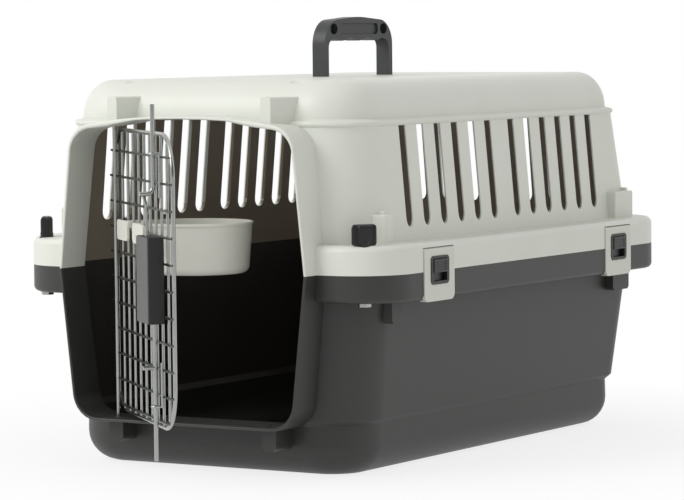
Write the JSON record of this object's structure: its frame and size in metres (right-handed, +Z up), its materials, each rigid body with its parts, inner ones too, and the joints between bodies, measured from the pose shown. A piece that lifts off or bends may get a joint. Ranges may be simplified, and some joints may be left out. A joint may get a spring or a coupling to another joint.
{
  "type": "bird travel carrier",
  "caption": "Two-shell plastic travel carrier for a bird, with a wire door on a vertical hinge, a hanging food cup, side clips and a carry handle.",
  "frame": {"origin": "bottom centre of the base, on the surface it stands on", "axes": "+Z up, the door faces -Y, and +X is the long side to the right of someone looking along +Y into the doorway"},
  "size_m": [0.4042, 0.6845, 0.4076],
  "materials": {
    "upper_shell": "satin off-white",
    "tub": "satin dark grey, fine grain",
    "clip": "satin off-white",
    "clip_trim": "satin black",
    "knob": "satin black",
    "steel": "plated",
    "wire": "bright zinc plating",
    "grip": "satin dark grey",
    "tab": "satin dark grey",
    "cup": "satin off-white",
    "handle": "satin dark grey"
  },
  "bodies": {
    "shells": {"lower_tub": "tub", "upper_shell": "upper_shell", "clip_pins": "steel", "bolts": "steel"},
    "door": {"door_frame": "wire", "door_uprights": "wire", "door_crossbars": "wire", "hinge_rod": "wire", "rod_guides": "wire", "grip_case": "grip", "latch_spring": "steel"},
    "upper_latch": {"upper_tab": "tab", "upper_latch_rod": "wire"},
    "lower_latch": {"lower_tab": "tab", "lower_latch_rod": "wire"},
    "cup": {"food_cup": "cup"},
    "handle": {"carry_handle": "handle", "handle_stops": "handle"},
    "knob_right": {"knob_right": "knob"},
    "knob_left": {"knob_left": "knob"},
    "clip_front_right": {"clip_plate_front_right": "clip", "clip_bezel_front_right": "clip_trim"},
    "lock_front_right": {"clip_lock_front_right": "clip_trim"},
    "clip_rear_right": {"clip_plate_rear_right": "clip", "clip_bezel_rear_right": "clip_trim"},
    "lock_rear_right": {"clip_lock_rear_right": "clip_trim"},
    "clip_front_left": {"clip_plate_front_left": "clip", "clip_bezel_front_left": "clip_trim"},
    "lock_front_left": {"clip_lock_front_left": "clip_trim"},
    "clip_rear_left": {"clip_plate_rear_left": "clip", "clip_bezel_rear_left": "clip_trim"},
    "lock_rear_left": {"clip_lock_rear_left": "clip_trim"}
  },
  "joints": [
    {"name": "door_swing", "type": "hinge", "parent": "shells", "child": "door", "pos_m": [-0.084, -0.2775, 0], "axis": [0, 0, -1], "range_deg": [-35, 93]},
    {"name": "upper_latch_slide", "type": "slide", "parent": "door", "child": "upper_latch", "axis": [0, 0, -1], "range_m": [0, 0.0235], "stiffness_N_per_m": 120, "springref_m": -0.02, "deforming": ["latch_spring"]},
    {"name": "lower_latch_slide", "type": "slide", "parent": "door", "child": "lower_latch", "axis": [0, 0, 1], "range_m": [0, 0.0235], "stiffness_N_per_m": 120, "springref_m": -0.02},
    {"name": "cup_lift", "type": "slide", "parent": "door", "child": "cup", "axis": [0, 0, 1], "range_m": [0, 0.014]},
    {"name": "handle_slide", "type": "slide", "parent": "shells", "child": "handle", "axis": [0, 0, -1], "range_m": [0, 0.028]},
    {"name": "clip_front_right_hinge", "type": "hinge", "parent": "shells", "child": "clip_front_right", "pos_m": [0.1975, -0.184, 0.1992], "axis": [0, -1, 0], "range_deg": [0, 100]},
    {"name": "lock_front_right_slide", "type": "slide", "parent": "clip_front_right", "child": "lock_front_right", "axis": [0, 0, -1], "range_m": [0, 0.007]},
    {"name": "clip_rear_right_hinge", "type": "hinge", "parent": "shells", "child": "clip_rear_right", "pos_m": [0.1975, 0.164, 0.1992], "axis": [0, -1, 0], "range_deg": [0, 100]},
    {"name": "lock_rear_right_slide", "type": "slide", "parent": "clip_rear_right", "child": "lock_rear_right", "axis": [0, 0, -1], "range_m": [0, 0.007]},
    {"name": "clip_front_left_hinge", "type": "hinge", "parent": "shells", "child": "clip_front_left", "pos_m": [-0.1975, -0.184, 0.1992], "axis": [0, 1, 0], "range_deg": [0, 100]},
    {"name": "lock_front_left_slide", "type": "slide", "parent": "clip_front_left", "child": "lock_front_left", "axis": [0, 0, -1], "range_m": [0, 0.007]},
    {"name": "clip_rear_left_hinge", "type": "hinge", "parent": "shells", "child": "clip_rear_left", "pos_m": [-0.1975, 0.164, 0.1992], "axis": [0, 1, 0], "range_deg": [0, 100]},
    {"name": "lock_rear_left_slide", "type": "slide", "parent": "clip_rear_left", "child": "lock_rear_left", "axis": [0, 0, -1], "range_m": [0, 0.007]},
    {"name": "knob_right_turn", "type": "hinge", "parent": "shells", "child": "knob_right", "pos_m": [0.1713, -0.2648, 0.21], "axis": [0, 0, 1], "continuous": true},
    {"name": "knob_left_turn", "type": "hinge", "parent": "shells", "child": "knob_left", "pos_m": [-0.1713, -0.2648, 0.21], "axis": [0, 0, 1], "continuous": true}
  ],
  "couplings": [
    {"joint": "lower_latch_slide", "follows": "upper_latch_slide", "ratio": 1}
  ]
}
